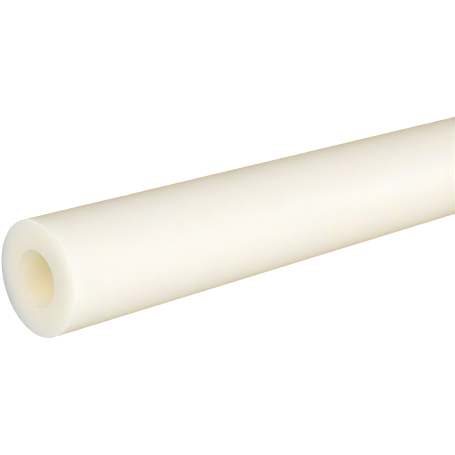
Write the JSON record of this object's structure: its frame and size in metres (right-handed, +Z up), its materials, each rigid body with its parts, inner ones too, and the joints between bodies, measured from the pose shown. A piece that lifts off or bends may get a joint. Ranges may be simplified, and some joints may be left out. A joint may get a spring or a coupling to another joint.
{
  "type": "hollow nylon bar",
  "caption": "Thick-walled round bar of natural nylon with a bore from end to end, both ends cut square with broken edges; stock for bushes, spacers, rollers and sleeves.",
  "frame": {"origin": "centre of the bore at the bottom cut end, on the surface that the bar stands on", "axes": "+Z up the bar's axis, from the bottom end to the top end; X and Y lie in the cut end, and the bar is the same all round, so either may point anywhere"},
  "size_m": [0.0508, 0.0508, 0.3048],
  "materials": {
    "natural_nylon": "satin"
  },
  "bodies": {
    "root": {"hollow_bar": "natural_nylon"}
  },
  "joints": []
}
